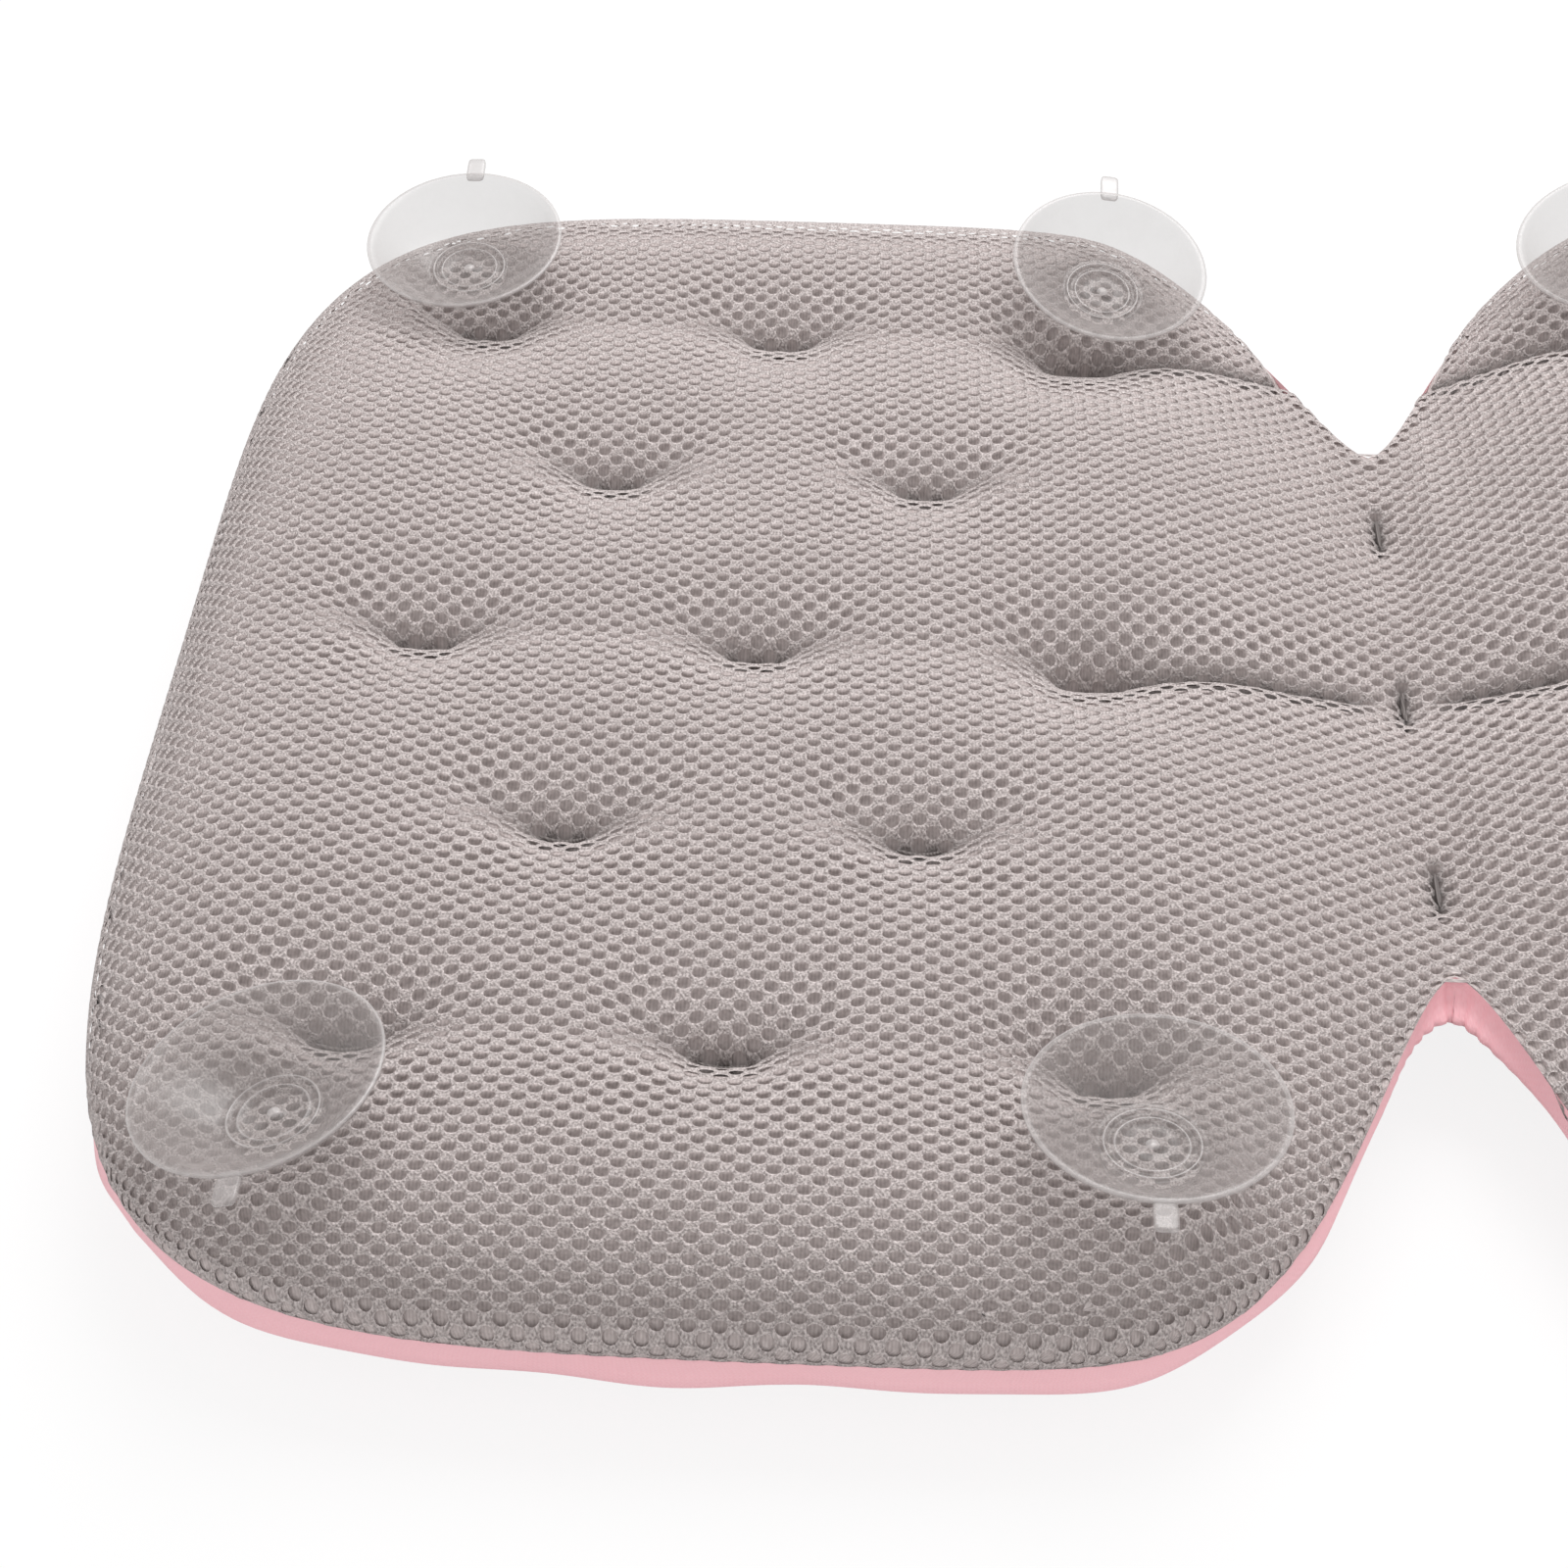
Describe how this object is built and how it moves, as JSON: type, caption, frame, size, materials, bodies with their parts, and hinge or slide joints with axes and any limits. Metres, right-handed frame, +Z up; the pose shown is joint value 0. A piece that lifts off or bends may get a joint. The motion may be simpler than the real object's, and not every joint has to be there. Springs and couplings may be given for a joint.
{
  "type": "bath pillow",
  "caption": "Tufted two-lobe bath pillow with a mesh rear, a smooth pink front, a folding waist and clear suction cups that turn on their necks.",
  "frame": {"origin": "middle of the waist, on the floor that the pink face lies on", "axes": "+X along the length towards the neck pad, +Y across towards the far side of the picture, +Z up out of the rear face with the suction cups"},
  "size_m": [0.564, 0.364, 0.0722],
  "materials": {
    "rear_mesh": "knitted 3-D air mesh, matt",
    "front_cover": "smooth knitted fabric, matt",
    "filling": "loose white fibre",
    "thread": "sewing thread",
    "suction_cup": "clear soft PVC, glossy",
    "washer": "clear plastic, satin"
  },
  "bodies": {
    "back_pad": {"rear_mesh_back": "rear_mesh", "front_cover_back": "front_cover", "filling_back": "filling", "tuft_tie_back_01": "thread", "tuft_tie_back_02": "thread", "tuft_tie_back_03": "thread", "tuft_tie_back_04": "thread", "tuft_tie_back_05": "thread", "tuft_tie_back_06": "thread", "tuft_tie_back_07": "thread", "tuft_tie_back_08": "thread", "tuft_tie_back_09": "thread", "tuft_tie_back_10": "thread", "tuft_tie_back_11": "thread", "tuft_tie_back_12": "thread", "tuft_tie_back_13": "thread", "cup_washer_back_1": "washer", "cup_washer_back_2": "washer", "cup_washer_back_3": "washer", "cup_washer_back_4": "washer", "rear_waist_web": "rear_mesh", "front_waist_web": "front_cover", "waist_tack_1": "thread", "waist_tack_2": "thread", "waist_tack_3": "thread"},
    "neck_pad": {"rear_mesh_neck": "rear_mesh", "front_cover_neck": "front_cover", "filling_neck": "filling", "tuft_tie_neck_01": "thread", "tuft_tie_neck_02": "thread", "tuft_tie_neck_03": "thread", "tuft_tie_neck_04": "thread", "tuft_tie_neck_05": "thread", "tuft_tie_neck_06": "thread", "tuft_tie_neck_07": "thread", "tuft_tie_neck_08": "thread", "tuft_tie_neck_09": "thread", "tuft_tie_neck_10": "thread", "tuft_tie_neck_11": "thread", "tuft_tie_neck_12": "thread", "tuft_tie_neck_13": "thread", "cup_washer_neck_1": "washer", "cup_washer_neck_2": "washer", "cup_washer_neck_3": "washer", "cup_washer_neck_4": "washer"},
    "cup_back_1": {"suction_cup_back_1": "suction_cup"},
    "cup_back_2": {"suction_cup_back_2": "suction_cup"},
    "cup_back_3": {"suction_cup_back_3": "suction_cup"},
    "cup_back_4": {"suction_cup_back_4": "suction_cup"},
    "cup_neck_1": {"suction_cup_neck_1": "suction_cup"},
    "cup_neck_2": {"suction_cup_neck_2": "suction_cup"},
    "cup_neck_3": {"suction_cup_neck_3": "suction_cup"},
    "cup_neck_4": {"suction_cup_neck_4": "suction_cup"}
  },
  "joints": [
    {"name": "waist_fold", "type": "hinge", "parent": "back_pad", "child": "neck_pad", "pos_m": [0, 0, 0.0226], "axis": [0, -1, 0], "range_deg": [-110, 80], "deforming": ["rear_waist_web", "front_waist_web"]},
    {"name": "cup_spin_back_1", "type": "hinge", "parent": "back_pad", "child": "cup_back_1", "pos_m": [-0.23, 0.138, 0.0412], "axis": [-0.0345, -0.1563, 0.9871], "continuous": true},
    {"name": "cup_spin_back_2", "type": "hinge", "parent": "back_pad", "child": "cup_back_2", "pos_m": [-0.23, -0.147, 0.04192], "axis": [-0.2244, 0.068, 0.9721], "continuous": true},
    {"name": "cup_spin_back_3", "type": "hinge", "parent": "back_pad", "child": "cup_back_3", "pos_m": [-0.066, 0.138, 0.03967], "axis": [0.1183, -0.2402, 0.9635], "continuous": true},
    {"name": "cup_spin_back_4", "type": "hinge", "parent": "back_pad", "child": "cup_back_4", "pos_m": [-0.066, -0.147, 0.04179], "axis": [0, 0.1219, 0.9925], "continuous": true},
    {"name": "cup_spin_neck_1", "type": "hinge", "parent": "neck_pad", "child": "cup_neck_1", "pos_m": [0.23, 0.138, 0.05329], "axis": [0.0863, -0.1387, 0.9866], "continuous": true},
    {"name": "cup_spin_neck_2", "type": "hinge", "parent": "neck_pad", "child": "cup_neck_2", "pos_m": [0.23, -0.147, 0.05297], "axis": [0.121, 0.121, 0.9853], "continuous": true},
    {"name": "cup_spin_neck_3", "type": "hinge", "parent": "neck_pad", "child": "cup_neck_3", "pos_m": [0.066, 0.138, 0.05042], "axis": [-0.2049, -0.17, 0.9639], "continuous": true},
    {"name": "cup_spin_neck_4", "type": "hinge", "parent": "neck_pad", "child": "cup_neck_4", "pos_m": [0.066, -0.147, 0.05187], "axis": [-0.1716, 0.1541, 0.973], "continuous": true}
  ]
}
